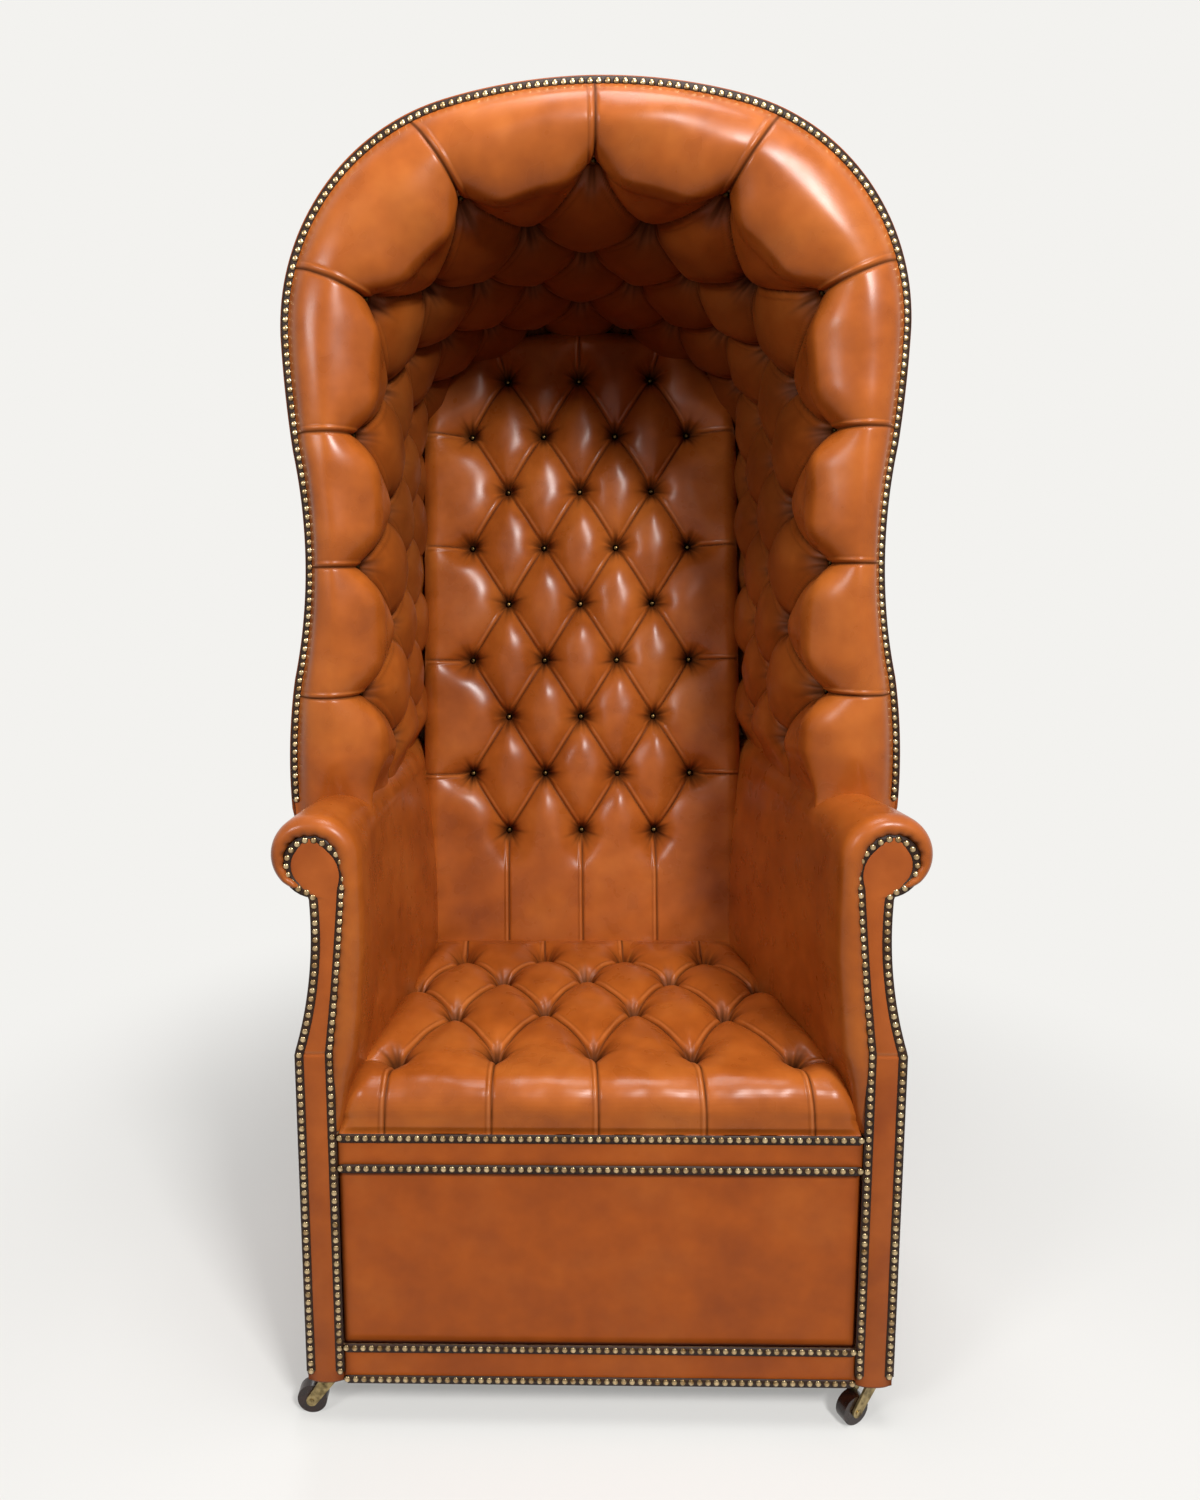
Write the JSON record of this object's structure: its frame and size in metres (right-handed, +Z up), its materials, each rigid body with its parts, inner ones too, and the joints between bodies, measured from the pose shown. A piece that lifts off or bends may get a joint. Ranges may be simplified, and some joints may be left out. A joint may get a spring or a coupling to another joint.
{
  "type": "hall porter chair",
  "caption": "Hooded hall porter chair with scroll arms, deep-buttoned leather inside and a box base on swivel casters.",
  "frame": {"origin": "centre of the floor area under the chair, at floor level", "axes": "+Z up, -Y to the front where the sitter faces, +X to the right seen from the front"},
  "size_m": [0.7892, 0.7299, 1.655],
  "materials": {
    "stuffed_leather": "tan hide over hair stuffing, hand-rubbed gloss",
    "hide_leather": "tan hide stretched flat, hand-rubbed gloss",
    "covered_buttons": "dark antiqued stud heads",
    "frame_timber": "sawn beech",
    "jute_webbing": "woven jute",
    "black_cambric": "plain woven",
    "caster_brass": "worn brass with nickel remains",
    "wheel_brown": "dark brown glazed wheel"
  },
  "bodies": {
    "chair": {"arm_facing_left": "hide_leather", "arm_facing_right": "hide_leather", "arm_pad_left": "stuffed_leather", "arm_pad_right": "stuffed_leather", "arm_rail_left": "frame_timber", "arm_rail_right": "frame_timber", "back_buttons": "covered_buttons", "back_cushion": "stuffed_leather", "back_frame": "frame_timber", "bottom_cover": "black_cambric", "caster_plate_front_left": "caster_brass", "caster_plate_front_right": "caster_brass", "caster_plate_rear_left": "caster_brass", "caster_plate_rear_right": "caster_brass", "corner_blocks": "frame_timber", "front_panel": "hide_leather", "front_plinth_border": "hide_leather", "front_post_left": "frame_timber", "front_post_right": "frame_timber", "front_top_border": "hide_leather", "hood_bow_front": "frame_timber", "hood_bow_rear": "frame_timber", "hood_cover": "hide_leather", "hood_edge_roll": "stuffed_leather", "hood_lining_left": "stuffed_leather", "hood_lining_right": "stuffed_leather", "hood_lining_roof": "stuffed_leather", "hood_slats": "frame_timber", "outside_back": "hide_leather", "plinth_rail_front": "frame_timber", "plinth_rail_left": "frame_timber", "plinth_rail_rear": "frame_timber", "plinth_rail_right": "frame_timber", "rear_post_left": "frame_timber", "rear_post_right": "frame_timber", "seat_buttons": "covered_buttons", "seat_cushion": "stuffed_leather", "seat_rail_front": "frame_timber", "seat_rail_left": "frame_timber", "seat_rail_rear": "frame_timber", "seat_rail_right": "frame_timber", "seat_webbing": "jute_webbing", "side_panel_left": "hide_leather", "side_panel_right": "hide_leather"},
    "swivel_front_left": {"caster_horn_front_left": "caster_brass", "caster_axle_front_left": "caster_brass"},
    "wheel_front_left": {"caster_wheel_front_left": "wheel_brown"},
    "swivel_front_right": {"caster_horn_front_right": "caster_brass", "caster_axle_front_right": "caster_brass"},
    "wheel_front_right": {"caster_wheel_front_right": "wheel_brown"},
    "swivel_rear_left": {"caster_horn_rear_left": "caster_brass", "caster_axle_rear_left": "caster_brass"},
    "wheel_rear_left": {"caster_wheel_rear_left": "wheel_brown"},
    "swivel_rear_right": {"caster_horn_rear_right": "caster_brass", "caster_axle_rear_right": "caster_brass"},
    "wheel_rear_right": {"caster_wheel_rear_right": "wheel_brown"}
  },
  "joints": [
    {"name": "swivel_front_left", "type": "hinge", "parent": "chair", "child": "swivel_front_left", "pos_m": [-0.342, -0.3397, 0.06], "axis": [0, 0, 1], "continuous": true},
    {"name": "roll_front_left", "type": "hinge", "parent": "swivel_front_left", "child": "wheel_front_left", "pos_m": [-0.365, -0.3397, 0.019], "axis": [0, -1, 0], "continuous": true},
    {"name": "swivel_front_right", "type": "hinge", "parent": "chair", "child": "swivel_front_right", "pos_m": [0.342, -0.3397, 0.06], "axis": [0, 0, 1], "continuous": true},
    {"name": "roll_front_right", "type": "hinge", "parent": "swivel_front_right", "child": "wheel_front_right", "pos_m": [0.32116, -0.34942, 0.019], "axis": [0.4226, -0.9063, 0], "continuous": true},
    {"name": "swivel_rear_left", "type": "hinge", "parent": "chair", "child": "swivel_rear_left", "pos_m": [-0.2885, 0.2085, 0.06], "axis": [0, 0, 1], "continuous": true},
    {"name": "roll_rear_left", "type": "hinge", "parent": "swivel_rear_left", "child": "wheel_rear_left", "pos_m": [-0.29637, 0.18689, 0.019], "axis": [0.9397, -0.342, 0], "continuous": true},
    {"name": "swivel_rear_right", "type": "hinge", "parent": "chair", "child": "swivel_rear_right", "pos_m": [0.2885, 0.2085, 0.06], "axis": [0, 0, 1], "continuous": true},
    {"name": "roll_rear_right", "type": "hinge", "parent": "swivel_rear_right", "child": "wheel_rear_right", "pos_m": [0.30612, 0.19372, 0.019], "axis": [0.6428, 0.766, 0], "continuous": true}
  ]
}
